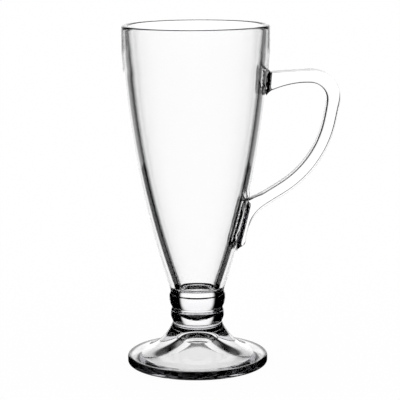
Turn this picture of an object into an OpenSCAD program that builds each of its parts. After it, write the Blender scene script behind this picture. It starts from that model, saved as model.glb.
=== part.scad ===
// Irish coffee glass: a tall footed glass with a ringed stem and an applied side handle.
// Millimetres, +Z up, the origin on the axis of the bowl at the table, the handle towards +X.

/* [Bowl] */
// Height of the rim above the table
rim_height = 176; // [165:1:195]
// Outer diameter at the rim
rim_d = 75.4; // [68:0.2:84]
// Thickness of the glass at the rim
lip_t = 2.6; // [2:0.1:3.6]
// How far the shoulder lies below the rim
shoulder_drop = 23.5; // [16:0.5:32]
// Outer diameter at the shoulder
shoulder_d = 74.7; // [68:0.1:84]
// Thickness of the wall at the shoulder
wall_t = 4.85; // [3.6:0.05:6]
// How far the band below the rim swells out from a straight line
mouth_swell = 0.45; // [0:0.05:0.9]
// How far the inside of the lip hollows out from a straight line
lip_hollow = 0.4; // [0:0.05:0.8]
// How far the outside of the bowl bows out from a straight cone
side_bow = 2.9; // [1.5:0.1:4]
// Outer diameter at the collar, where the bowl runs into the neck
collar_d = 30.5; // [29.5:0.1:32]
// Height of the collar above the weld to the stem
collar_h = 5.6; // [4:0.1:7]
// How far the inside of the bowl bows out from a straight cone
inner_bow = 4; // [2.5:0.1:5]
// Height of the inside floor above the weld to the stem
floor_t = 2.6; // [2:0.1:4]
// Radius of the flat part of the inside floor
floor_r = 6.6; // [4:0.1:7.5]
// Radius of the inside at the heel, where the wall turns into the floor
heel_r = 9.4; // [8.5:0.1:10]
// Height of the heel above the inside floor
heel_rise = 2.6; // [1.8:0.1:4]

/* [Stem] */
// Diameter of the weld between bowl and stem
neck_d = 28.86; // [27:0.02:29.1]
// Height of the upper ring of the stem
upper_ring_h = 7.7; // [6:0.1:10]
// Diameter at the top of the upper ring, just under the weld
swell_d = 29.2; // [28.9:0.1:30.4]
// How far the top of the upper ring lies below the weld
swell_drop = 1.5; // [1:0.1:2.5]
// How far the upper ring swells
upper_ring_swell = 0.9; // [0.4:0.05:1.6]
// Diameter of the groove between the rings
groove_d = 26.3; // [24:0.1:28]
// Height of the lower ring of the stem
lower_ring_h = 7.6; // [6:0.1:10]
// How far the lower ring swells
lower_ring_swell = 0.82; // [0.4:0.02:1.6]

/* [Foot] */
// Height of the weld between stem and foot above the table
foot_h = 22.1; // [20:0.1:26]
// Diameter of the weld between stem and foot
ankle_d = 25.3; // [23:0.1:27]
// Outer diameter of the foot
foot_d = 73; // [66:0.5:80]
// Height of the edge of the foot
edge_h = 4.5; // [3.6:0.1:5.5]
// Radius of the roundings along the edge of the foot
edge_round = 1.25; // [0.8:0.05:1.6]
// How far the top of the foot hollows in from a straight cone
foot_sweep = 4.3; // [3:0.1:5]
// Diameter of the hollow under the foot, where it meets the standing ring
hollow_d = 56; // [46:0.5:62]
// Depth of the hollow under the foot
hollow_h = 14.4; // [12.5:0.1:16]
// Diameter of the hollow where its side runs into the round top
hollow_top_d = 16; // [11:0.5:20]
// Height where the side of the hollow runs into the round top
hollow_side_h = 10.2; // [8:0.1:12]
// How far the side of the hollow sags below a straight cone
hollow_sag = 1.7; // [0.5:0.1:2.5]

/* [Handle] */
// Height of the middle of the handle's arm at its upper seat
seat_z = 148.5; // [140:0.1:151]
// Height of the upper corner of the handle, before it is rounded
corner_z = 150.6; // [146:0.2:156]
// Distance of the upper corner of the handle from the axis, before it is rounded
corner_x = 72.4; // [68:0.2:80]
// Height of the elbow of the handle, before it is rounded
elbow_z = 104.4; // [99:0.2:109]
// Distance of the elbow of the handle from the axis, before it is rounded
elbow_x = 63.6; // [58:0.2:68]
// Height where the handle meets the bowl again
foot_seat_z = 81; // [76:0.5:86]
// Height of the end of the tail that lies along the bowl
tail_z = 61.2; // [56:0.2:66]
// Thickness of the handle, seen from the side
handle_t = 6.2; // [5:0.1:8]
// Extra thickness of the handle at its upper corner
corner_swell = 1; // [0:0.1:2]
// Length from the corner over which the extra thickness fades out
corner_fade = 16.5; // [10:0.5:24]
// Width of the handle, seen from its edge
handle_w = 10; // [7:0.1:13]
// Width of the tail at its end
tail_w = 8; // [6:0.1:10]
// Radius of the rounded edges of the handle
handle_round = 0.9; // [0.5:0.1:1.6]
// Bend radius at the upper corner
corner_bend = 11; // [8:0.5:13]
// Bend radius at the elbow
elbow_bend = 53; // [40:1:60]
// Bend radius where the handle runs into its tail
tail_bend = 23.5; // [14:0.5:28]
// Extra depth of the handle under its upper seat
gusset = 3.4; // [2:0.1:5]
// Extra width of the handle at its upper seat
seat_spread = 1.6; // [0:0.1:3]
// Length over which the extra depth and width fade out
gusset_len = 18; // [12:0.5:24]
// Height of the drop at the end of the tail
drop_rise = 0.7; // [0:0.1:1.2]

/* [Hidden] */
glass = [0.86, 0.91, 0.92, 0.35];
// Points on a long curve, on a wide bend and on a small rounding
long_steps = 18;
bend_steps = 12;
round_steps = 6;
// Points on each rounded edge of the handle's section
edge_steps = 4;
// How deep the raw end of the handle starts inside the wall, before the bowl's shape is cut away
seat_depth = 3;
// Length of the rounded end of the tail and of the drop on it
tail_end = 3.6;
drop_len = 8;
// Length over which the handle narrows to the width of its tail
tail_len = 26;
// Points along the arm and along the tail
arm_steps = 9;
tail_steps = 8;
// How far the middle line of the tail sinks into the bowl at its end
tail_sink = 0.4;
// Share of a rounded tail end that is left as a small flat tip
tip_share = 0.3;

rim_r = rim_d / 2;
lip_r = lip_t / 2;
lip_z = rim_height - lip_r;
shoulder = [shoulder_d / 2, rim_height - shoulder_drop];
throat = [shoulder[0] - wall_t, shoulder[1]];
weld_z = foot_h + lower_ring_h + upper_ring_h;
collar = [collar_d / 2, weld_z + collar_h];
neck = [neck_d / 2, weld_z];
floor_z = weld_z + floor_t;
heel = [heel_r, floor_z + heel_rise];
swell = [swell_d / 2, weld_z - swell_drop];
groove = [groove_d / 2, foot_h + lower_ring_h];
ankle = [ankle_d / 2, foot_h];
foot_r = foot_d / 2;
// Rise of an arc over a quarter of a circle, for a rounding of radius 1
quarter = 1 - cos(45);

function unit(v) = v / norm(v);
function turn(v) = [v[1], -v[0]];

// Points on the arc from p to q that rises by rise to the right of the way from p to q
function bow(p, q, rise, n) =
    abs(rise) < 0.001 ? [p, q] :
    let (half = norm(q - p) / 2,
         r = (half * half + rise * rise) / (2 * rise),
         side = turn(unit(q - p)),
         centre = (p + q) / 2 + side * (rise - r),
         sweep = 4 * atan(rise / half),
         start = p - centre)
    [for (i = [0:n])
        let (a = sweep * i / n)
        centre + start * cos(a) - turn(start) * sin(a)];

// Points on the arc from p to q, inwards, that is level at q
function level_bow(p, q, n) =
    let (slope = atan2(p[1] - q[1], p[0] - q[0]))
    bow(p, q, -norm(p - q) / 2 * tan(slope / 2), n);

// Points on the arc from p to q that stands upright at q
function upright_bow(p, q, n) =
    let (lean = atan2(p[0] - q[0], abs(p[1] - q[1])),
         way = sign(p[1] - q[1]))
    bow(p, q, way * norm(p - q) / 2 * tan(lean / 2), n);

// A list of points in the other order
function reversed(list) = [for (i = [len(list) - 1:-1:0]) list[i]];
// A list without its first point
function rest(list) = [for (i = [1:len(list) - 1]) list[i]];

// The arc in the corner b between the ways to a and to c
function bend(a, b, c, r, n) =
    let (u = unit(a - b),
         w = unit(c - b),
         half = acos(u * w) / 2,
         reach = r / tan(half),
         side = -sign(cross(u, w)))
    bow(b + u * reach, b + w * reach, side * r * (1 - sin(half)), n);

bowl_side = concat(
    bow(shoulder, collar, -side_bow, long_steps),
    rest(upright_bow(collar, neck, round_steps)));
bowl_outside = concat(
    [[0, weld_z]],
    reversed(bowl_side),
    rest(bow(shoulder, [rim_r, lip_z], mouth_swell, round_steps)));
bowl_inside = concat(
    rest(bow([rim_r, lip_z], [rim_r - lip_t, lip_z], lip_r, bend_steps)),
    rest(bow([rim_r - lip_t, lip_z], throat, -lip_hollow, round_steps)),
    rest(bow(throat, heel, -inner_bow, long_steps)),
    rest(level_bow(heel, [floor_r, floor_z], round_steps)),
    [[0, floor_z]]);

// Outer radius of the bowl at a height below its shoulder
function side_r(z) = lookup(z, [for (p = bowl_side) [p[1], p[0]]]);

module bowl() {
    color(glass)
    rotate_extrude($fn = 180)
    polygon(concat(bowl_outside, bowl_inside));
}

module stem() {
    color(glass)
    rotate_extrude($fn = 180)
    polygon(concat(
        [[0, foot_h]],
        bow(ankle, groove, lower_ring_swell, bend_steps),
        rest(bow(groove, swell, upper_ring_swell, bend_steps)),
        rest(upright_bow(swell, neck, round_steps)),
        [[0, weld_z]]));
}

module foot() {
    hollow_top = [hollow_top_d / 2, hollow_side_h];
    hollow_side = bow([hollow_d / 2, 0], hollow_top, -hollow_sag, bend_steps);
    hollow_dome = level_bow(hollow_top, [0, hollow_h], bend_steps);
    color(glass)
    rotate_extrude($fn = 180)
    polygon(concat(
        reversed(hollow_dome),
        rest(reversed(hollow_side)),
        bow([foot_r - edge_round, 0], [foot_r, edge_round], edge_round * quarter, round_steps),
        bow([foot_r, edge_h - edge_round], [foot_r - edge_round, edge_h], edge_round * quarter, round_steps),
        bow([foot_r - edge_round, edge_h], ankle, -foot_sweep, long_steps),
        [[0, foot_h]]));
}

// Points on the straight way from p to q, without q
function stretch(p, q, n) = [for (i = [0:n - 1]) p + (q - p) * i / n];

// The middle line of the handle, in the plane of the axis: out from the wall along the arm, round the
// corner, down the leg, round the elbow, back to the bowl and down along it
root = [side_r(seat_z) - seat_depth, seat_z];
corner = [corner_x, corner_z];
elbow = [elbow_x, elbow_z];
landing = [side_r(foot_seat_z), foot_seat_z];
tail = [side_r(tail_z) - tail_sink, tail_z];
corner_arc = bend(root, corner, elbow, corner_bend, bend_steps);
elbow_arc = bend(corner, elbow, landing, elbow_bend, bend_steps);
landing_arc = bend(elbow, landing, tail, tail_bend, round_steps);
handle_line = concat(
    stretch(root, corner_arc[0], arm_steps),
    corner_arc,
    elbow_arc,
    landing_arc,
    [for (i = [1:tail_steps]) landing_arc[round_steps] + (tail - landing_arc[round_steps]) * i / tail_steps]);
handle_steps = len(handle_line) - 1;

// Distance along the middle line from its start to each of its points
function running(line, i = 1, sum = [0]) =
    i == len(line) ? sum :
    running(line, i + 1, concat(sum, [sum[i - 1] + norm(line[i] - line[i - 1])]));
handle_run = running(handle_line);
corner_run = handle_run[arm_steps + bend_steps / 2];

// One rounded rectangle of the handle: the loop's side reaches inner from the middle line, the other
// side outer, and the width lies along Y
function section(inner, outer, width, round) =
    let (corners = [[inner - round, width / 2 - round], [round - outer, width / 2 - round],
                    [round - outer, round - width / 2], [inner - round, round - width / 2]])
    [for (c = [0:3], k = [0:edge_steps])
        let (a = 90 * (c + k / edge_steps))
        corners[c] + round * [cos(a), sin(a)]];

// The section at point i of the middle line, as points in space
function handle_ring(i) =
    let (way = unit(handle_line[min(i + 1, handle_steps)] - handle_line[max(i - 1, 0)]),
         side = turn(way),
         from_wall = max(0, handle_run[i] - seat_depth),
         to_end = handle_run[handle_steps] - handle_run[i],
         fade = pow(max(0, 1 - from_wall / gusset_len), 2),
         taper = min(1, to_end / tail_len),
         from_corner = min(1, abs(handle_run[i] - corner_run) / corner_fade),
         half_t = (handle_t + corner_swell * pow(cos(90 * from_corner), 2)) / 2,
         drop = to_end < drop_len ? drop_rise * pow(sin(180 * to_end / drop_len), 2) : 0,
         close = to_end < tail_end ? sqrt(1 - pow(1 - to_end / tail_end, 2)) : 1,
         shrink = max(tip_share, close),
         width = tail_w + (handle_w - tail_w) * taper + seat_spread * fade)
    [for (q = section(half_t + gusset * fade, half_t + drop, width, handle_round))
        let (p = handle_line[i] + side * q[0] * shrink)
        [p[0], q[1] * shrink, p[1]]];

module handle_bar() {
    sides = 4 * (edge_steps + 1);
    rings = [for (i = [0:handle_steps]) handle_ring(i)];
    walls = [for (i = [0:handle_steps - 1], j = [0:sides - 1])
        let (k = (j + 1) % sides, a = i * sides, b = a + sides)
        each [[a + j, b + j, b + k], [a + j, b + k, a + k]]];
    start_cap = [for (j = [0:sides - 1]) j];
    end_cap = [for (j = [sides - 1:-1:0]) handle_steps * sides + j];
    polyhedron([for (ring = rings) each ring], concat(walls, [start_cap, end_cap]));
}

module handle() {
    color(glass)
    difference() {
        handle_bar();
        // The seam of the bowl's shape is turned away from the handle
        rotate([0, 0, 180])
        rotate_extrude($fn = 180)
        polygon(concat(bowl_outside, [[0, lip_z]]));
    }
}

bowl();
stem();
foot();
handle();
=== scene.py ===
# %% [markdown]
# # A footed coffee glass in clear pressed glass
#
# The real object is four lumps of soda glass that were joined while they were hot: a tall tapered
# bowl, a short stem with two rings, a flared foot with a hollow under it, and an applied handle.
# Clear glass has no colour of its own, so all that shows is how it bends the light of the room.
# That makes three things matter here: smooth surfaces of the right thickness, joints that let
# light through as fused glass does, and a studio that gives the glass something to bend.
#
# The construction model is loaded first and never moved. Every piece below stands where it stands.

# %% Load the construction model
import math

import bmesh
import bpy
from mathutils import Matrix, Vector


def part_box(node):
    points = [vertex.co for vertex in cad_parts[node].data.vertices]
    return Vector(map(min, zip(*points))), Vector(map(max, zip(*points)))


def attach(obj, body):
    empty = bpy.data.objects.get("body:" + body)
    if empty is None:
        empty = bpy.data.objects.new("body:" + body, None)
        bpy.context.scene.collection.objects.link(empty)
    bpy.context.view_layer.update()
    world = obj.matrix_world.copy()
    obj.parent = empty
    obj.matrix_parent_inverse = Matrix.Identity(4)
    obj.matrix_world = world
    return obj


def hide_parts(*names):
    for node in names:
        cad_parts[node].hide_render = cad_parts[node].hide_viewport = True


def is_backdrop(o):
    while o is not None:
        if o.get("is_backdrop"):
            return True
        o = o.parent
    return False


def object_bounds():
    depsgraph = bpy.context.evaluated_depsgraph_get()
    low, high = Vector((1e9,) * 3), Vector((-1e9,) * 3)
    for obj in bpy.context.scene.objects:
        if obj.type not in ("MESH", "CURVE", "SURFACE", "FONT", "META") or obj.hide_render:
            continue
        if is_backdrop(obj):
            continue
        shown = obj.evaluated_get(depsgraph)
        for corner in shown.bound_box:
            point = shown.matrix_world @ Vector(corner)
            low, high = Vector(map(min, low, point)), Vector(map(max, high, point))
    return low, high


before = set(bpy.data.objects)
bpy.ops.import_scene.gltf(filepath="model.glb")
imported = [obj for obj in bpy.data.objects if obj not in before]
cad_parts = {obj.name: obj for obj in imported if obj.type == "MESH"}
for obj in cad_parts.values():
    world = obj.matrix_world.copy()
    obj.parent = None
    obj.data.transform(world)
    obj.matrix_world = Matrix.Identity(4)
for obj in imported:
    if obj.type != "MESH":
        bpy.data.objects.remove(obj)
cad_low, cad_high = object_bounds()
MM = 0.001
print("nodes:", sorted(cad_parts))
print("size in mm:", [round(side / MM, 1) for side in cad_high - cad_low])

# %% [markdown]
# ## The camera
#
# The photograph was taken from a little above the rim with a long lens, so the ellipses of rim and
# foot are narrow and almost alike. A camera could be aimed by eye or with a constraint. Here its
# place is written as a tripod would be set up: distance, height, tilt and a small roll, all
# measured from those two ellipses.

# %% Set up the camera
CAMERA_SIDE = 1.72 * MM
CAMERA_DISTANCE = 805.6 * MM
CAMERA_HEIGHT = 235.4 * MM
CAMERA_TILT = math.radians(10.519)
CAMERA_ROLL = math.radians(0.353)
LENS = 143.0
SENSOR = 36.0

scene = bpy.context.scene
scene.view_settings.view_transform = "Standard"
camera = bpy.data.objects.new("camera", bpy.data.cameras.new("camera"))
scene.collection.objects.link(camera)
scene.camera = camera
camera.data.lens = LENS
camera.data.sensor_width = SENSOR
camera.matrix_world = (
    Matrix.Translation((CAMERA_SIDE, -CAMERA_DISTANCE, CAMERA_HEIGHT))
    @ Matrix.Rotation(math.pi / 2 - CAMERA_TILT, 4, "X")
    @ Matrix.Rotation(-CAMERA_ROLL, 4, "Z")
)
print("camera at", [round(place / MM) for place in camera.location], "mm, lens", LENS)

# %% [markdown]
# ## Lines of the mould
#
# Bowl, stem and foot are pressed in round moulds, so each is a line turned about the axis. The
# line could be a long list of points, but a mould maker draws it as a few corners joined by arcs.
# Small helpers do that in millimetres, as (radius, height) points: an arc that bulges by a given
# rise, and the rise at which an arc stands upright or lies level at one of its ends.

# %% Helpers for arcs
LONG_STEPS = 56
SHORT_STEPS = 14


def arc(start, end, rise, steps):
    """Points on the arc from start to end that rises to the right of the way by rise."""
    start, end = Vector(start), Vector(end)
    way = end - start
    half = way.length / 2
    side = Vector((way.y, -way.x)) / way.length
    radius = (half * half + rise * rise) / (2 * rise)
    centre = (start + end) / 2 + side * (rise - radius)
    sweep = 4 * math.atan(rise / half)
    spoke = start - centre
    turned = Vector((-spoke.y, spoke.x))
    angles = [sweep * step / steps for step in range(steps + 1)]
    return [centre + spoke * math.cos(a) + turned * math.sin(a) for a in angles]


def upright_rise(start, end):
    """Rise of the arc between two points that stands upright at one of them."""
    lean = math.atan2(abs(start.x - end.x), abs(start.y - end.y))
    return (start - end).length / 2 * math.tan(lean / 2)


def level_rise(start, end):
    """Rise of the arc between two points that lies level at one of them."""
    slope = math.atan2(abs(start.y - end.y), abs(start.x - end.x))
    return (start - end).length / 2 * math.tan(slope / 2)


half_circle = arc((1, 0), (-1, 0), 1, LONG_STEPS)
print("points of a half circle:", len(half_circle))

# %% [markdown]
# A drawn line is worked on like a wire. It is measured, divided into even steps, eased where it
# bends too sharply, and cut at a height.

# %% Helpers for lines


def length_of(line):
    """Length of a line of points."""
    return sum((b - a).length for a, b in zip(line, line[1:]))


def point_at(line, distance):
    """The point at a distance along a line."""
    for a, b in zip(line, line[1:]):
        step = (b - a).length
        if distance <= step:
            return a.lerp(b, distance / step)
        distance -= step
    return line[-1].copy()


def even(line, count):
    """The same line with count equal steps."""
    whole = length_of(line)
    return [point_at(line, whole * step / count) for step in range(count + 1)]


def eased(line, rounds):
    """The line with its bends eased and its ends kept."""
    for _ in range(rounds):
        middle = [(a + 2 * b + c) / 4 for a, b, c in zip(line, line[1:], line[2:])]
        line = [line[0], *middle, line[-1]]
    return line


def above(line, height):
    """The part of a falling line that lies above a height, ending on it."""
    kept = []
    for a, b in zip(line, line[1:]):
        kept.append(a)
        if b.y <= height:
            kept.append(a.lerp(b, (a.y - height) / (a.y - b.y)))
            break
    return kept


def below(line, height):
    """The part of a falling line that lies below a height, starting on it."""
    turned = above([Vector((p.x, -p.y)) for p in reversed(line)], -height)
    return [Vector((p.x, -p.y)) for p in reversed(turned)]


print("length of a half circle of radius 1:", round(length_of(half_circle), 3))

# %% [markdown]
# ## One outside line for bowl, stem and foot
#
# On the glass the three parts run into each other: the bowl ends in a small crease at the neck,
# and the notches between the rings are soft, because hot glass can't hold a sharp inside corner.
# Three lines with sharp ends would show as hard black rings. So the whole outside is drawn once,
# from the rim down to the edge of the foot, its notches are eased, and it is parted at the heights
# where the construction model has its welds.

# %% Draw the outside line
rim_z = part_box("bowl")[1].z / MM
weld_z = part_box("bowl")[0].z / MM
ankle_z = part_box("foot")[1].z / MM
foot_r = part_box("foot")[1].y / MM

RIM_R = 37.7
LIP_R = 1.6
LIP_FLAT = 0.4
SHOULDER_DROP = 13.0
MOUTH_SWELL = 0.05
SIDE_BOW = 3.85
COLLAR_R = 15.25
COLLAR_H = 5.6
NECK_R = 14.1
SWELL_R = 14.55
SWELL_DROP = 1.0
GROOVE_R = 13.15
GROOVE_RISE = 7.6
ANKLE_R = 12.65
UPPER_RING_SWELL = 0.65
LOWER_RING_SWELL = 1.0
FOOT_SWEEP = 4.3
EDGE_H = 4.5
EDGE_ROUND = 1.25
NOTCH_STEP = 0.16
NOTCH_ROUNDS = 8

lip = Vector((RIM_R, rim_z - LIP_R * LIP_FLAT))
shoulder = Vector((RIM_R, rim_z - SHOULDER_DROP))
collar = Vector((COLLAR_R, weld_z + COLLAR_H))
neck = Vector((NECK_R, weld_z))
swell = Vector((SWELL_R, weld_z - SWELL_DROP))
groove = Vector((GROOVE_R, ankle_z + GROOVE_RISE))
ankle = Vector((ANKLE_R, ankle_z))
foot_edge = Vector((foot_r - EDGE_ROUND, EDGE_H))

bowl_side = (
    arc(lip, shoulder, -MOUTH_SWELL, SHORT_STEPS)
    + arc(shoulder, collar, -SIDE_BOW, LONG_STEPS)[1:]
    + arc(collar, neck, upright_rise(collar, neck), SHORT_STEPS)[1:]
)
rings = (
    arc(neck, swell, -upright_rise(neck, swell), SHORT_STEPS)
    + arc(swell, groove, -UPPER_RING_SWELL, SHORT_STEPS)[1:]
    + arc(groove, ankle, -LOWER_RING_SWELL, SHORT_STEPS)[1:]
)
foot_top = arc(ankle, foot_edge, FOOT_SWEEP, LONG_STEPS)
notched = bowl_side[-SHORT_STEPS:] + rings[1:] + foot_top[1:SHORT_STEPS]
soft = eased(even(notched, round(length_of(notched) / NOTCH_STEP)), NOTCH_ROUNDS)
outside = bowl_side[:-SHORT_STEPS] + soft + foot_top[SHORT_STEPS:]
print("outside line:", len(outside), "points,", round(length_of(outside)), "mm long")

# %% [markdown]
# ## Turning a line into glass
#
# A lathe, a Screw modifier or the spin operator would all turn a line about the axis. The spin
# operator is the plainest in code: the line becomes a chain of edges, spin sweeps it round once,
# and the doubled points on the axis are merged so that the body is closed.

# %% Helper for turned bodies
TURN_STEPS = 160
MERGE = 0.002 * MM


def turned_body(line):
    """A bmesh of a line of (radius, height) points, in mm, turned once about the axis."""
    bm = bmesh.new()
    points = [bm.verts.new((p.x * MM, 0, p.y * MM)) for p in line]
    chain = [bm.edges.new(pair) for pair in zip(points, points[1:])]
    bmesh.ops.spin(
        bm, geom=points + chain, axis=(0, 0, 1), cent=(0, 0, 0), angle=2 * math.pi,
        steps=TURN_STEPS, use_merge=True,
    )
    bmesh.ops.remove_doubles(bm, verts=bm.verts, dist=MERGE)
    bmesh.ops.recalc_face_normals(bm, faces=bm.faces)
    return bm


print("a turned body has", TURN_STEPS, "steps round its axis")

# %% [markdown]
# Glass needs even shading, so all faces are smooth and only edges that are really sharp are
# marked. Fused glass has no surface in a weld, so the faces that lie in one are marked too: with a
# material slot of their own while a piece is made, because Booleans carry slots along, and with a
# face attribute in the finished piece. An edge that doesn't have exactly two faces would let light
# leak, so such edges are counted.

# %% Helpers for finished pieces
SHARP = math.radians(40)
GLASS_SLOT, WELD_SLOT = 0, 1


def shade(bm):
    """Smooth faces, with the edges marked that are really sharp."""
    for face in bm.faces:
        face.smooth = True
    for edge in bm.edges:
        edge.smooth = edge.calc_face_angle(0) < SHARP


def mark_weld(bm, height):
    """Gives the faces that lie flat at a height the weld's slot."""
    for face in bm.faces:
        if all(abs(corner.co.z - height * MM) < MERGE for corner in face.verts):
            face.material_index = WELD_SLOT


def open_edges(bm):
    """How many edges don't have exactly two faces."""
    return sum(not edge.is_manifold for edge in bm.edges)


def added(name, bm, *materials):
    """A new object in the scene, made of a bmesh."""
    mesh = bpy.data.meshes.new(name)
    bm.to_mesh(mesh)
    bm.free()
    for material in materials:
        mesh.materials.append(material)
    made = bpy.data.objects.new(name, mesh)
    scene.collection.objects.link(made)
    return made


def finished(name, bm):
    """The object of a finished bmesh, with its welds marked in a face attribute."""
    shade(bm)
    fused = bm.faces.layers.float.new("weld")
    for face in bm.faces:
        face[fused] = float(face.material_index == WELD_SLOT)
        face.material_index = GLASS_SLOT
    print(f"{name}: {len(bm.verts)} points, {len(bm.faces)} faces, {open_edges(bm)} open edges")
    return added(name, bm)


print("edges count as sharp from", round(math.degrees(SHARP)), "degrees")

# %% [markdown]
# ## The stem
#
# Two soft rings of solid glass, like beads on a rod. They act as strong lenses: each shows the
# bright background as a small white window with black sides. The body is the stretch of the
# outside line between the two welds, closed by a flat face at each.

# %% Make the stem
stem_line = above(below(outside, weld_z), ankle_z)
stem_bm = turned_body([Vector((0, weld_z)), *stem_line, Vector((0, ankle_z))])
mark_weld(stem_bm, weld_z)
mark_weld(stem_bm, ankle_z)
stem_piece = finished("stem_glass", stem_bm)

# %% [markdown]
# ## The foot
#
# The foot flares out to a round edge and stands on a flat ring. A cone with a blunt tip is pressed
# into its underside, and seen from above that cone is what draws the dark arch and the light fan
# in the foot. The line goes down the flare, round the edge, along the ring and up the hollow to
# its tip.

# %% Make the foot
HOLLOW_R = 28.0
HOLLOW_H = 14.4
HOLLOW_WAIST = Vector((8.0, 10.2))
HOLLOW_SWEEP = 1.7
QUARTER_RISE = 1 - math.cos(math.pi / 4)

edge_rise = EDGE_ROUND * QUARTER_RISE
ring_edge = Vector((HOLLOW_R, 0))
tip = Vector((0, HOLLOW_H))

foot_line = (
    [Vector((0, ankle_z))]
    + below(outside, ankle_z)
    + arc(foot_edge, (foot_r, EDGE_H - EDGE_ROUND), -edge_rise, SHORT_STEPS)[1:]
    + arc((foot_r, EDGE_ROUND), (foot_r - EDGE_ROUND, 0), -edge_rise, SHORT_STEPS)
    + arc(ring_edge, HOLLOW_WAIST, -HOLLOW_SWEEP, LONG_STEPS)
    + arc(HOLLOW_WAIST, tip, level_rise(HOLLOW_WAIST, tip), LONG_STEPS)[1:]
)
foot_bm = turned_body(foot_line)
mark_weld(foot_bm, ankle_z)
foot_piece = finished("foot_glass", foot_bm)

# %% [markdown]
# ## The bowl
#
# The bowl is a thick wall between two lines that aren't parallel: its lip is low and broad, the
# mouth below it is almost straight, and the wall grows thicker downwards until it is solid at the
# bottom. Its thickness is what draws the dark bands along both sides, so a solidified shell of one
# thickness wouldn't do. The inside has its own arcs, joined to the outside over the lip, which is
# an arc pressed flat.

# %% Make the bowl
THROAT_R = 32.5
THROAT_DROP = 23.5
LIP_HOLLOW = 0.2
INNER_BOW = 3.7
FLOOR_T = 1.5
FLAT_R = 6.6
HEEL_R = 9.4
HEEL_RISE = 2.6

lip_inside = Vector((RIM_R - 2 * LIP_R, lip.y))
throat = Vector((THROAT_R, rim_z - THROAT_DROP))
heel = Vector((HEEL_R, weld_z + FLOOR_T + HEEL_RISE))
floor_point = Vector((FLAT_R, weld_z + FLOOR_T))

inner_side = (
    arc(lip_inside, throat, -LIP_HOLLOW, SHORT_STEPS)
    + arc(throat, heel, -INNER_BOW, LONG_STEPS)[1:]
    + arc(heel, floor_point, -level_rise(heel, floor_point), SHORT_STEPS)[1:]
)
round_lip = arc(lip_inside, lip, -LIP_R, SHORT_STEPS)
lip_arc = [Vector((p.x, lip.y + (p.y - lip.y) * LIP_FLAT)) for p in round_lip]
bowl_outside = above(outside, weld_z)
bowl_line = [
    Vector((0, weld_z + FLOOR_T)),
    *reversed(inner_side),
    *lip_arc[1:-1],
    *bowl_outside,
    Vector((0, weld_z)),
]
bowl_bm = turned_body(bowl_line)
print("bowl line:", len(bowl_line), "points; open edges:", open_edges(bowl_bm))

# %% [markdown]
# ## The handle
#
# A strip of hot glass was laid on: its end is pressed against the bowl under the rim, it bends out
# and down like an ear, and its tail is drawn down along the bowl and ends in a drop. A curve with
# a bevel could make a strip of even section, but this one widens at its seat, thins along the tail
# and is flat on two sides. So one section face is extruded along the middle line step by step, and
# each new ring of points is set to the section that belongs there.

# %% Draw the middle line of the handle
SEAT_Z = 148.5
CORNER = Vector((72.4, 150.6))
ELBOW = Vector((63.6, 104.4))
LANDING_Z = 81.0
TAIL_Z = 61.2
TAIL_SINK = 0.4
SEAT_DEPTH = 3.0
CORNER_BEND = 11.0
ELBOW_BEND = 53.0
TAIL_BEND = 23.5
HANDLE_STEPS = 260
LINE_ROUNDS = 24
TINY = 1e-9


def side_r(height):
    """Outer radius of the bowl at a height."""
    for a, b in zip(bowl_outside, bowl_outside[1:]):
        if b.y <= height <= a.y:
            return a.lerp(b, (a.y - height) / max(a.y - b.y, TINY)).x
    return bowl_outside[0].x


def bend(a, corner, b, radius):
    """The arc of a radius in the corner between the ways to a and to b."""
    to_a, to_b = (a - corner).normalized(), (b - corner).normalized()
    half = to_a.angle(to_b) / 2
    reach = radius / math.tan(half)
    turn = -1 if to_a.x * to_b.y - to_a.y * to_b.x > 0 else 1
    rise = turn * radius * (1 - math.sin(half))
    return arc(corner + to_a * reach, corner + to_b * reach, rise, SHORT_STEPS)


root = Vector((side_r(SEAT_Z) - SEAT_DEPTH, SEAT_Z))
landing = Vector((side_r(LANDING_Z), LANDING_Z))
tail = Vector((side_r(TAIL_Z) - TAIL_SINK, TAIL_Z))
middle_line = [
    root,
    *bend(root, CORNER, ELBOW, CORNER_BEND),
    *bend(CORNER, ELBOW, landing, ELBOW_BEND),
    *bend(ELBOW, landing, tail, TAIL_BEND),
    tail,
]
middle_line = eased(even(middle_line, HANDLE_STEPS), LINE_ROUNDS)
handle_length = length_of(middle_line)
print("handle:", round(handle_length), "mm along its middle line")

# %% [markdown]
# Across, the strip is a rectangle with round edges, and rounder ones inside the loop, where
# fingers hold it. A bevel along the whole strip would come to the same, but with the rounding in
# the section every step has the same number of points.

# %% Round edges of the handle
INNER_EDGE_R = 1.8
OUTER_EDGE_R = 0.3
EDGE_STEPS = 6
FLAT_STEPS = 8


def rounded_section(inner, outer, width):
    """Points round a rectangle with round edges: across the strip, and along its width."""
    corners = [
        (inner - INNER_EDGE_R, width / 2 - INNER_EDGE_R, INNER_EDGE_R),
        (OUTER_EDGE_R - outer, width / 2 - OUTER_EDGE_R, OUTER_EDGE_R),
        (OUTER_EDGE_R - outer, OUTER_EDGE_R - width / 2, OUTER_EDGE_R),
        (inner - INNER_EDGE_R, INNER_EDGE_R - width / 2, INNER_EDGE_R),
    ]
    quarters = []
    for quarter, (x, y, radius) in enumerate(corners):
        angles = [math.pi / 2 * (quarter + step / EDGE_STEPS) for step in range(EDGE_STEPS + 1)]
        quarters.append([
            Vector((x + radius * math.cos(a), y + radius * math.sin(a))) for a in angles
        ])
    ring = []
    for here, following in zip(quarters, quarters[1:] + quarters[:1]):
        flat = [here[-1].lerp(following[0], step / FLAT_STEPS) for step in range(1, FLAT_STEPS)]
        ring += here + flat
    return ring


print("points round a section:", 4 * (EDGE_STEPS + FLAT_STEPS))

# %% [markdown]
# The section changes on its way. It is deeper and wider at the upper seat and thicker at the
# corner. Along the tail it narrows, and it closes in a drop at its end. One function gives the
# section for every step of the middle line.

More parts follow.
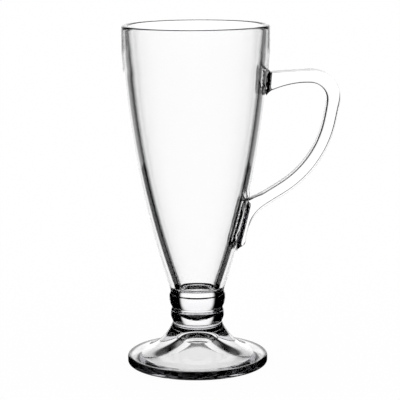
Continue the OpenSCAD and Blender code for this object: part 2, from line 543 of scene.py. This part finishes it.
# %% Sections of the handle
HANDLE_T = 6.2
HANDLE_W = 10.0
CORNER_SWELL = 1.0
CORNER_FADE = 16.5
GUSSET = 3.4
GUSSET_LEN = 18.0
SEAT_SPREAD = 1.6
TAIL_W = 8.0
TAIL_LEN = 26.0
TAIL_END = 3.6
TIP_SHARE = 0.3
DROP_RISE = 0.7
DROP_LEN = 8.0

corner_gaps = [(place - CORNER).length for place in middle_line]
corner_run = handle_length * corner_gaps.index(min(corner_gaps)) / HANDLE_STEPS


def section_at(index):
    """The points of the handle's section at a step of its middle line, in mm."""
    here = middle_line[index]
    way = middle_line[min(index + 1, HANDLE_STEPS)] - middle_line[max(index - 1, 0)]
    side = Vector((way.y, -way.x)).normalized()
    run = handle_length * index / HANDLE_STEPS
    to_end = handle_length - run
    fade = max(0, 1 - max(0, run - SEAT_DEPTH) / GUSSET_LEN) ** 2
    taper = min(1, to_end / TAIL_LEN)
    from_corner = min(1, abs(run - corner_run) / CORNER_FADE)
    half_t = (HANDLE_T + CORNER_SWELL * math.cos(math.pi / 2 * from_corner) ** 2) / 2
    drop = DROP_RISE * math.sin(math.pi * to_end / DROP_LEN) ** 2 if to_end < DROP_LEN else 0
    close = math.sqrt(1 - (1 - to_end / TAIL_END) ** 2) if to_end < TAIL_END else 1
    shrink = max(TIP_SHARE, close)
    width = TAIL_W + (HANDLE_W - TAIL_W) * taper + SEAT_SPREAD * fade
    ring = rounded_section(half_t + GUSSET * fade, half_t + drop, width)
    places = [here + side * q.x * shrink for q in ring]
    return [Vector((p.x, q.y * shrink, p.y)) for p, q in zip(places, ring)]


print("the handle's corner is", round(corner_run), "mm along its middle line")

# %% [markdown]
# The weld needs a soft flare: hot glass creeps along the wall where it touches, so the strip meets
# the bowl in a hollow rounding and not in a corner. A bevel on the finished joint would have to
# find its edges first. Here each point close to the bowl is pushed along the wall, more the closer
# it is, on a quarter circle, and the rounding is largest on top of the lower joint. It draws the
# black edges of the seats.

# %% Make the raw handle
WELD_ROUND = 2.8
LANDING_ROUND = 9.0


def flare(corner):
    """The way a point of the handle creeps along the wall, by its distance from the bowl."""
    gap = math.hypot(corner.co.x, corner.co.y) / MM - side_r(corner.co.z / MM)
    upward = max(corner.normal.z, 0) ** 2 if corner.co.z < ELBOW.y * MM else 0
    radius = WELD_ROUND + (LANDING_ROUND - WELD_ROUND) * upward
    near = max(radius - abs(gap), 0)
    outwards = Vector((corner.co.x, corner.co.y, 0)).normalized()
    along_wall = corner.normal - outwards * corner.normal.dot(outwards)
    return along_wall * (radius - math.sqrt(radius * radius - near * near)) * MM


def handle_body():
    """A bmesh of the whole strip, with its ends inside the wall of the bowl."""
    bm = bmesh.new()
    cap = bm.faces.new([bm.verts.new(p * MM) for p in section_at(0)])
    for index in range(1, HANDLE_STEPS + 1):
        moved = bmesh.ops.extrude_face_region(bm, geom=[cap])["geom"]
        bm.faces.remove(cap)
        cap = next(item for item in moved if isinstance(item, bmesh.types.BMFace))
        for corner, place in zip(cap.verts, section_at(index)):
            corner.co = place * MM
    start = [edge for edge in bm.edges if edge.is_boundary]
    bmesh.ops.contextual_create(bm, geom=start)
    bmesh.ops.recalc_face_normals(bm, faces=bm.faces)
    bm.normal_update()
    pushes = [(corner, flare(corner)) for corner in bm.verts]
    for corner, push in pushes:
        corner.co += push
    return bm


raw_handle_bm = handle_body()
print("raw handle:", len(raw_handle_bm.faces), "faces; open edges:", open_edges(raw_handle_bm))

# %% [markdown]
# ## Seats of the handle
#
# Where the handle sits on the bowl there is no surface any more: light goes straight from one into
# the other. The handle is cut with the bowl's own outside, so that both share the same seat, and
# the seat's faces get the weld's slot on both pieces. Two Boolean modifiers find the line where
# they meet.

# %% Helpers for the seats
glass = bpy.data.materials.new("glass")
weld = bpy.data.materials.new("weld")


def scratch_piece(name, bm, slot):
    """A scratch object of a bmesh with all its faces in one material slot."""
    for face in bm.faces:
        face.material_index = slot
    return added(name, bm, glass, weld)


def combined(base, tool, operation):
    """A bmesh of base after a Boolean with tool. Each face keeps its own object's slot."""
    modifier = base.modifiers.new("seat", "BOOLEAN")
    modifier.operation = operation
    modifier.object = tool
    modifier.solver = "EXACT"
    cut = base.evaluated_get(bpy.context.evaluated_depsgraph_get())
    mesh = bpy.data.meshes.new_from_object(cut)
    base.modifiers.remove(modifier)
    bm = bmesh.new()
    bm.from_mesh(mesh)
    bpy.data.meshes.remove(mesh)
    return bm


def keep_slot(bm, slot):
    """Deletes the faces of the other slot."""
    others = [face for face in bm.faces if face.material_index != slot]
    bmesh.ops.delete(bm, geom=others, context="FACES")


print("slots while cutting:", glass.name, GLASS_SLOT, "and", weld.name, WELD_SLOT)

# %% [markdown]
# The handle loses what lies inside the bowl and gets a seat face in exchange. The bowl gets the
# same seat, so the two fit without a gap: the outer skin under the handle is removed, and a
# reversed copy of the handle's seat is sewn in.

# %% Cut the seats
core_bm = turned_body([Vector((0, lip.y)), *bowl_outside, Vector((0, weld_z))])
core = scratch_piece("bowl_core", core_bm, WELD_SLOT)
strip_as_glass = scratch_piece("strip_as_glass", raw_handle_bm.copy(), GLASS_SLOT)
strip_as_weld = scratch_piece("strip_as_weld", raw_handle_bm, WELD_SLOT)
whole_bowl = scratch_piece("whole_bowl", bowl_bm, GLASS_SLOT)

handle_bm = combined(strip_as_glass, core, "DIFFERENCE")
bowl_bm = combined(whole_bowl, strip_as_weld, "UNION")
keep_slot(bowl_bm, GLASS_SLOT)
seat_bm = handle_bm.copy()
keep_slot(seat_bm, WELD_SLOT)
bmesh.ops.reverse_faces(seat_bm, faces=seat_bm.faces)
seat_mesh = bpy.data.meshes.new("seat")
seat_bm.to_mesh(seat_mesh)
seat_bm.free()
bowl_bm.from_mesh(seat_mesh)
bmesh.ops.remove_doubles(bowl_bm, verts=bowl_bm.verts, dist=MERGE)
mark_weld(bowl_bm, weld_z)
for scratch in (core, strip_as_glass, strip_as_weld, whole_bowl):
    bpy.data.objects.remove(scratch)
bowl_piece = finished("bowl_glass", bowl_bm)
handle_piece = finished("handle_glass", handle_bm)

# %% [markdown]
# ## Shader maths as Python
#
# A material is a tree of nodes. Wiring each Math node by hand hides what is meant, so one small
# class stands for a socket: its operators add the Math nodes, and one method adds any other node.

# %% A class for sockets


class Value:
    """A socket of a node tree. Python's operators on it add Math nodes."""

    def __init__(self, tree, socket=None):
        self.tree = tree
        self.socket = socket

    def node(self, kind, settings=None, inputs=None, out=0):
        """Adds a node, sets it up, fills or links its inputs, and gives one of its outputs."""
        made = self.tree.nodes.new(kind)
        for name, setting in (settings or {}).items():
            setattr(made, name, setting)
        for key, value in (inputs or {}).items():
            if isinstance(value, Value):
                self.tree.links.new(value.socket, made.inputs[key])
            else:
                made.inputs[key].default_value = value
        return Value(self.tree, made.outputs[out] if made.outputs else None)

    def math(self, operation, first, second):
        """Adds a Math node of two values."""
        return self.node("ShaderNodeMath", {"operation": operation}, {0: first, 1: second})

    def __add__(self, other):
        return self.math("ADD", self, other)

    def __radd__(self, other):
        return self.math("ADD", other, self)

    def __sub__(self, other):
        return self.math("SUBTRACT", self, other)

    def __rsub__(self, other):
        return self.math("SUBTRACT", other, self)

    def __mul__(self, other):
        return self.math("MULTIPLY", self, other)

    def __rmul__(self, other):
        return self.math("MULTIPLY", other, self)

    def __pow__(self, other):
        return self.math("POWER", self, other)

    def __rpow__(self, other):
        return self.math("POWER", other, self)


def shader_tree(owner):
    """An empty node tree of a material or the world, as a Value to start from."""
    owner.use_nodes = True
    owner.node_tree.nodes.clear()
    return Value(owner.node_tree)


print("sockets can be added, subtracted, multiplied and raised to a power")

# %% [markdown]
# ## Clear glass
#
# Pressed soda glass bends light with an index of about 1.52. It swallows a little light in its
# depth, and a pinch of manganese in the batch, which hides the green of iron, leaves a trace of
# lavender in it. It is never quite even: the mould leaves a slow waviness in its skin and faint
# differences in polish. A plain glass shader would look like a drawing, so a slow noise gives the
# waviness to the normal, a finer one varies the polish and the tint a little, and an absorption
# fills the depth. Where a face is marked as a weld, a see-through shader takes the surface's
# place.

# %% Make the glass
GLASS_IOR = 1.52
WAVE_SCALE = 45.0
WAVE_DETAIL = 1.0
WAVE_HEIGHT = 0.008 * MM
POLISH_SCALE = 240.0
POLISH_DETAIL = 2.0
POLISH = 0.006
CLEAR_TINT = (1.0, 1.0, 1.0, 1)
GREY_TINT = (0.995, 0.995, 0.995, 1)
DEPTH_TINT = (0.5, 0.48, 0.54, 1)
DEPTH_DENSITY = 10.0


def glass_nodes(material):
    """Gives a material the nodes of the glass."""
    tree = shader_tree(material)
    place = tree.node("ShaderNodeTexCoord", out="Object")
    waves = tree.node(
        "ShaderNodeTexNoise",
        inputs={"Vector": place, "Scale": WAVE_SCALE, "Detail": WAVE_DETAIL},
    )
    polish = tree.node(
        "ShaderNodeTexNoise",
        inputs={"Vector": place, "Scale": POLISH_SCALE, "Detail": POLISH_DETAIL},
    )
    tint = tree.node(
        "ShaderNodeMix", {"data_type": "RGBA"},
        {"Factor": polish, "A": CLEAR_TINT, "B": GREY_TINT}, out="Result",
    )
    normal = tree.node(
        "ShaderNodeBump",
        inputs={"Strength": 1.0, "Distance": WAVE_HEIGHT, "Height": waves},
    )
    surface = tree.node(
        "ShaderNodeBsdfPrincipled",
        inputs={
            "Base Color": tint,
            "Roughness": polish * POLISH,
            "IOR": GLASS_IOR,
            "Transmission Weight": 1.0,
            "Normal": normal,
        },
    )
    welded = tree.node("ShaderNodeAttribute", {"attribute_name": "weld"}, out="Fac")
    no_surface = tree.node("ShaderNodeBsdfTransparent")
    skin = tree.node("ShaderNodeMixShader", inputs={0: welded, 1: surface, 2: no_surface})
    depth = tree.node(
        "ShaderNodeVolumeAbsorption",
        inputs={"Color": DEPTH_TINT, "Density": DEPTH_DENSITY},
    )
    tree.node("ShaderNodeOutputMaterial", inputs={"Surface": skin, "Volume": depth})


glass_nodes(glass)
print("nodes in the glass:", len(glass.node_tree.nodes))

# %% [markdown]
# Each finished piece takes the glass, stands in for its node of the construction model and rides
# on the one rigid body, because fused glass has no moving part.

# %% Hand the pieces over
PIECES = {"bowl": bowl_piece, "stem": stem_piece, "foot": foot_piece, "handle": handle_piece}
for node, piece in PIECES.items():
    piece.data.materials.append(glass)
    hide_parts(node)
    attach(piece, "root")
print("glass on:", ", ".join(piece.name for piece in PIECES.values()))

# %% [markdown]
# ## The studio
#
# Glass on white is shot in a bright field: a white background straight behind it and dark cards
# all round, so that each edge that bends light sideways turns black. The cards could be placed one
# by one, but a single large tent round the object does the same, white in a window behind it and
# dark elsewhere. The studio is measured in metres.

# %% Light of the tent
TENT_R = 4.0
WINDOW_WIDE = 0.45
WINDOW_HIGH = 0.5
WINDOW_SQUARE = 4
WINDOW_FALL = 18.0
WINDOW_LEVEL = 1.22
WINDOW_DIM = 0.1


def along(tree, axis):
    """One of the three coordinates of a point in its object's own space."""
    place = tree.node("ShaderNodeTexCoord", out="Object")
    return tree.node("ShaderNodeSeparateXYZ", inputs={0: place}, out=axis)


def tent_light(name):
    """Emission of the tent: white in the window, dark elsewhere."""
    material = bpy.data.materials.new(name)
    tree = shader_tree(material)
    across = along(tree, "X") * (1 / TENT_R / WINDOW_WIDE)
    up = along(tree, "Y") * (1 / TENT_R / WINDOW_HIGH)
    away = (across ** WINDOW_SQUARE + up ** WINDOW_SQUARE) ** (1 / WINDOW_SQUARE)
    behind = tree.math("LESS_THAN", along(tree, "Z"), 0.0)
    window = (WINDOW_LEVEL - WINDOW_DIM * away ** 2) * 0.5 ** (away ** WINDOW_FALL)
    strength = tree.math("MAXIMUM", window, 0.0) * behind
    surface = tree.node("ShaderNodeEmission", inputs={"Strength": strength})
    tree.node("ShaderNodeOutputMaterial", inputs={"Surface": surface})
    return material


tent_white = tent_light("tent")
print("nodes in the tent's light:", len(tent_white.node_tree.nodes))

# %% [markdown]
# The tent stands with the camera, as in a studio where the object turns on a table. It isn't there
# for the camera itself or for the floor: only rays that come from glass see it.

# %% Put up the tent
TENT_CENTRE = 0.85
TENT_SUBDIVISIONS = 5


def for_glass_only(thing):
    """Lets a thing of the studio ride with the camera and be seen only by rays from glass."""
    bpy.context.view_layer.update()
    thing.parent = camera
    thing.matrix_parent_inverse = camera.matrix_world.inverted()
    thing.visible_camera = False
    thing.visible_diffuse = False
    thing.visible_shadow = False
    thing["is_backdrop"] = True


tent_bm = bmesh.new()
bmesh.ops.create_icosphere(tent_bm, subdivisions=TENT_SUBDIVISIONS, radius=TENT_R)
tent = added("studio_tent", tent_bm, tent_white)
tent.matrix_world = camera.matrix_world @ Matrix.Translation((0, 0, -TENT_CENTRE))
for_glass_only(tent)
print("tent of", TENT_R, "m round the object")

# %% [markdown]
# Two cards of thin gauze stand a hand's breadth behind the object, to its left and right. Their
# thread glows with painted light, which stands in for soft lamps at the sides, and the thick wall
# of the bowl turns it into the grey inside its dark bands. They start above the stem, which stays
# black, and their thread thins out sideways, so no edge of a card shows.

# %% Make the side cards
CARD_COVER = 0.3
CARD_GLOW = 1.0
CARD_TURN = math.radians(47)
CARD_AWAY = 0.12
CARD_WIDE = 0.06
CARD_SOFT = 0.022
CARD_LOW = 0.075
CARD_HIGH = 0.2


def card_gauze(name):
    """Gauze of a card: mostly open, with less and less glowing thread towards its sides."""
    material = bpy.data.materials.new(name)
    tree = shader_tree(material)
    aside = along(tree, "X") * (1 / CARD_SOFT)
    cover = CARD_COVER * math.e ** (-1 * aside ** 2)
    open_gauze = tree.node("ShaderNodeBsdfTransparent")
    # The thread is painted light: it glows in place of soft lamps at the sides.
    thread = tree.node("ShaderNodeEmission", inputs={"Strength": CARD_GLOW})
    surface = tree.node("ShaderNodeMixShader", inputs={0: cover, 1: open_gauze, 2: thread})
    tree.node("ShaderNodeOutputMaterial", inputs={"Surface": surface})
    return material


gauze = card_gauze("card")
for side in (-1, 1):
    card_bm = bmesh.new()
    low_edge = [card_bm.verts.new((x, 0, CARD_LOW)) for x in (-CARD_WIDE, CARD_WIDE)]
    high_edge = [card_bm.verts.new((x, 0, CARD_HIGH)) for x in (CARD_WIDE, -CARD_WIDE)]
    card_bm.faces.new(low_edge + high_edge)
    card = added("side_card", card_bm, gauze)
    away = Matrix.Translation((0, CARD_AWAY, 0))
    card.matrix_world = Matrix.Rotation(side * CARD_TURN, 4, "Z") @ away
    for_glass_only(card)
print("two cards of", round(CARD_HIGH - CARD_LOW, 3), "m height")

# %% [markdown]
# The floor is plain and pale. The camera sees it as white paper with the object's shadow on it. A
# floor that shone into the glass from all sides would wash out the dark edges, so to rays from
# glass it glows white only close under the foot, with painted light that stands in for the light
# falling through the glass onto the floor, is dark in a ring round it, and is open further out,
# where the tent takes over.

# %% Finish of the floor
NEAR_R = 0.0334
NEAR_SOFT = 0.002
# Level of the painted light that the floor gives off under the foot, seen only from glass.
UNDER_FOOT_PAINTED_LIGHT = 0.92
RING_R = 0.09
RING_SOFT = 0.02
FLOOR_COLOUR = (0.95, 0.95, 0.95, 1)
FLOOR_GLOW = 0.95


def pale_floor(name):
    """White to the camera with the object's shadow in it, and to the glass close by a white glow
    of painted light.
    """
    material = bpy.data.materials.new(name)
    tree = shader_tree(material)
    place = tree.node("ShaderNodeTexCoord", out="Object")
    away = tree.node("ShaderNodeVectorMath", {"operation": "LENGTH"}, {0: place}, out="Value")
    near, far = (
        tree.node(
            "ShaderNodeMapRange", {"interpolation_type": "SMOOTHSTEP"},
            {"Value": away, "From Min": start, "From Max": end},
        )
        for start, end in ((NEAR_R + NEAR_SOFT, NEAR_R), (RING_R, RING_R + RING_SOFT))
    )
    seen, glossy, through = (
        tree.node("ShaderNodeLightPath", out=f"Is {ray} Ray")
        for ray in ("Camera", "Glossy", "Transmission")
    )
    by_glass = tree.math("MAXIMUM", glossy, through)
    diffuse = tree.node("ShaderNodeBsdfDiffuse", inputs={"Color": FLOOR_COLOUR})
    white = tree.node("ShaderNodeEmission", inputs={"Strength": 1.0})
    # Painted light: the floor glows under the foot, where light through the glass would fall.
    under = tree.node("ShaderNodeEmission", inputs={"Strength": near * UNDER_FOOT_PAINTED_LIGHT})
    gone = tree.node("ShaderNodeBsdfTransparent")
    shown = tree.node("ShaderNodeMixShader", inputs={0: seen * FLOOR_GLOW, 1: diffuse, 2: white})
    in_glass = tree.node("ShaderNodeMixShader", inputs={0: far, 1: under, 2: gone})
    surface = tree.node("ShaderNodeMixShader", inputs={0: by_glass, 1: shown, 2: in_glass})
    tree.node("ShaderNodeOutputMaterial", inputs={"Surface": surface})
    return material


white_paper = pale_floor("floor")
print("nodes in the floor:", len(white_paper.node_tree.nodes))

# %% [markdown]
# The floor is a large round sheet a hair below the foot, so that the two don't lie in one plane.
# The world is white and lights it.

# %% Lay the floor and light the world
FLOOR_R = 12.0
FLOOR_SIDES = 96
FLOOR_GAP = 0.1 * MM
WORLD_COLOUR = (1, 1, 1, 1)
WORLD_LEVEL = 1.0

floor_bm = bmesh.new()
bmesh.ops.create_circle(floor_bm, cap_ends=True, radius=FLOOR_R, segments=FLOOR_SIDES)
floor = added("floor", floor_bm, white_paper)
floor.location.z = -FLOOR_GAP
floor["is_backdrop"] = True

scene.world = bpy.data.worlds.new("studio")
sky = shader_tree(scene.world)
light = sky.node("ShaderNodeBackground", inputs={"Color": WORLD_COLOUR, "Strength": WORLD_LEVEL})
sky.node("ShaderNodeOutputWorld", inputs={"Surface": light})
print("floor of", FLOOR_R, "m radius and a white world")

# %% [markdown]
# Light crosses many faces of thick glass, and inside the stem and the foot it bounces to and fro.
# With Blender's own limits such paths would end early and turn black, so the limits are raised.

# %% Let light go far in the glass
THROUGH_BOUNCES = 32
GLOSSY_BOUNCES = 24

scene.cycles.max_bounces = THROUGH_BOUNCES
scene.cycles.transmission_bounces = THROUGH_BOUNCES
scene.cycles.transparent_max_bounces = THROUGH_BOUNCES
scene.cycles.glossy_bounces = GLOSSY_BOUNCES
print("light may cross", THROUGH_BOUNCES, "faces")

# %% [markdown]
# ## Sizes
#
# The pieces stand in for the construction model, so they have to fill the same box. Both boxes are
# measured and compared, and the difference is printed.

# %% Compare the sizes and finish
low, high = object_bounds()
growth = (high - low) - (cad_high - cad_low)
print("bigger than the construction model by", [round(side / MM, 2) for side in growth], "mm")
